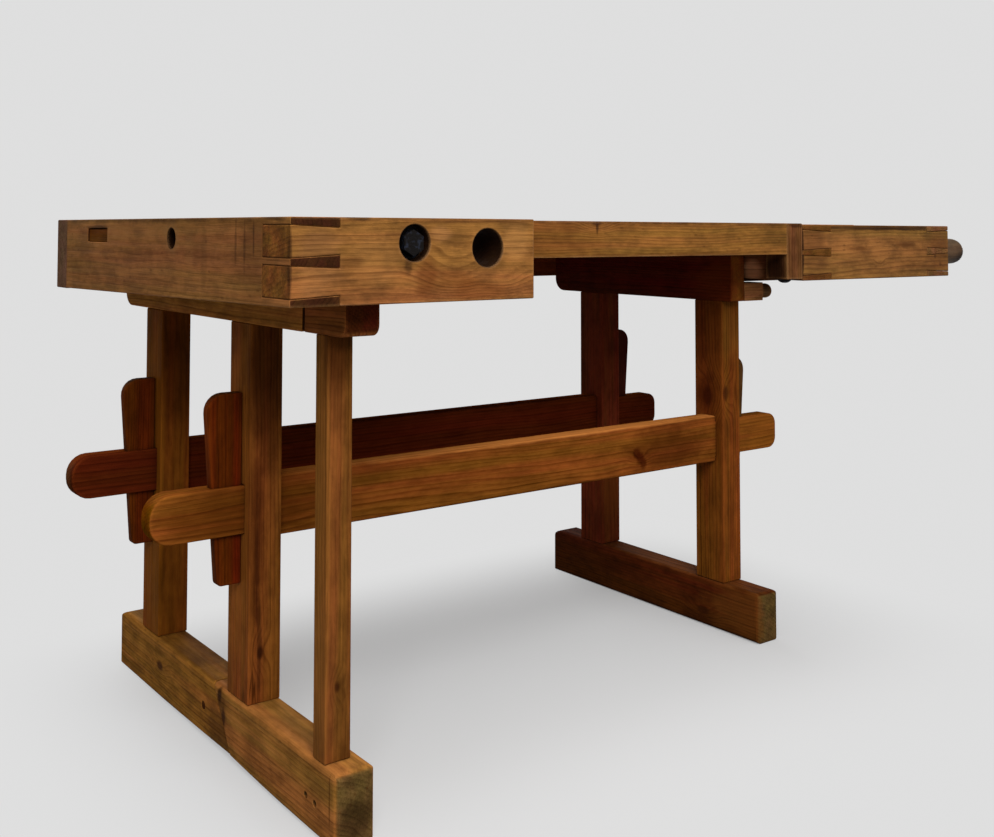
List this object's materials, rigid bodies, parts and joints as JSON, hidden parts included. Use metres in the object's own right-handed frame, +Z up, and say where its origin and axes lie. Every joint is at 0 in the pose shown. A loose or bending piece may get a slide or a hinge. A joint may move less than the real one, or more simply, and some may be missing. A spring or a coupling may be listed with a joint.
{
  "type": "workbench",
  "caption": "Joiner's workbench with a dog-leg shoulder vise arm, a sliding tail vise on a wooden screw, square dog holes, a rear tool tray and a wedged trestle base.",
  "frame": {"origin": "on the floor, under the middle of the bounding box", "axes": "+X along the bench towards the tail vise hub, +Y from the front edge to the back rail, +Z up"},
  "size_m": [1.9516, 0.905, 0.82],
  "materials": {
    "top_wood": "worn oiled",
    "arm_wood": "worn oiled",
    "cap_wood": "worn oiled",
    "vise_wood": "worn oiled",
    "base_wood": "dark varnished",
    "foot_wood": "dark varnished",
    "iron": "dark oxidised"
  },
  "bodies": {
    "bench": {"left_end_cap": "cap_wood", "end_cap_plug": "cap_wood", "left_cap_bolt": "iron", "left_cap_nut": "iron", "shoulder_vise_arm": "arm_wood", "shoulder_spacer_block": "arm_wood", "tie_bolt": "iron", "tie_bolt_washer": "iron", "tie_bolt_nut": "iron", "dog_hole_plank": "top_wood", "rear_plank": "top_wood", "tray_bottom": "top_wood", "back_rail": "cap_wood", "left_rail_peg": "base_wood", "right_rail_peg": "base_wood", "right_end_cap": "cap_wood", "right_cap_bolt": "iron", "right_cap_nut": "iron", "fixed_jaw_block": "vise_wood", "jaw_block_bolt": "iron", "vise_guide_rail": "base_wood", "left_foot_rear": "foot_wood", "left_foot_front": "foot_wood", "foot_scarf_peg": "base_wood", "right_foot": "foot_wood", "left_middle_post": "base_wood", "left_back_post": "base_wood", "right_front_post": "base_wood", "right_back_post": "base_wood", "left_front_post": "base_wood", "left_beam": "base_wood", "arm_bearer": "base_wood", "right_beam": "base_wood", "beam_peg": "base_wood", "left_top_peg": "base_wood", "right_top_peg": "base_wood", "near_stretcher": "base_wood", "far_stretcher": "base_wood"},
    "vise_carriage": {"vise_front_board": "vise_wood", "vise_jaw_block": "vise_wood", "vise_end_block": "vise_wood", "vise_garter_key": "base_wood", "vise_lid": "vise_wood", "vise_runner": "base_wood"},
    "vise_screw": {"tail_screw": "vise_wood"},
    "wedge_left_near": {"left_near_wedge": "base_wood"},
    "wedge_left_far": {"left_far_wedge": "base_wood"},
    "wedge_right_near": {"right_near_wedge": "base_wood"},
    "wedge_right_far": {"right_far_wedge": "base_wood"}
  },
  "joints": [
    {"name": "tail_vise_slide", "type": "slide", "parent": "bench", "child": "vise_carriage", "axis": [1, 0, 0], "range_m": [0, 0.18]},
    {"name": "tail_screw_turn", "type": "hinge", "parent": "vise_carriage", "child": "vise_screw", "pos_m": [0.76625, -0.2165, 0.76], "axis": [1, 0, 0], "range_deg": [0, 4640]},
    {"name": "wedge_left_near_lift", "type": "slide", "parent": "bench", "child": "wedge_left_near", "axis": [0, 0, 1], "range_m": [0, 0.12]},
    {"name": "wedge_left_far_lift", "type": "slide", "parent": "bench", "child": "wedge_left_far", "axis": [0, 0, 1], "range_m": [0, 0.12]},
    {"name": "wedge_right_near_lift", "type": "slide", "parent": "bench", "child": "wedge_right_near", "axis": [0, 0, 1], "range_m": [0, 0.12]},
    {"name": "wedge_right_far_lift", "type": "slide", "parent": "bench", "child": "wedge_right_far", "axis": [0, 0, 1], "range_m": [0, 0.12]}
  ],
  "couplings": [
    {"joint": "tail_screw_turn", "follows": "tail_vise_slide", "rad_per_m": 448.8}
  ]
}
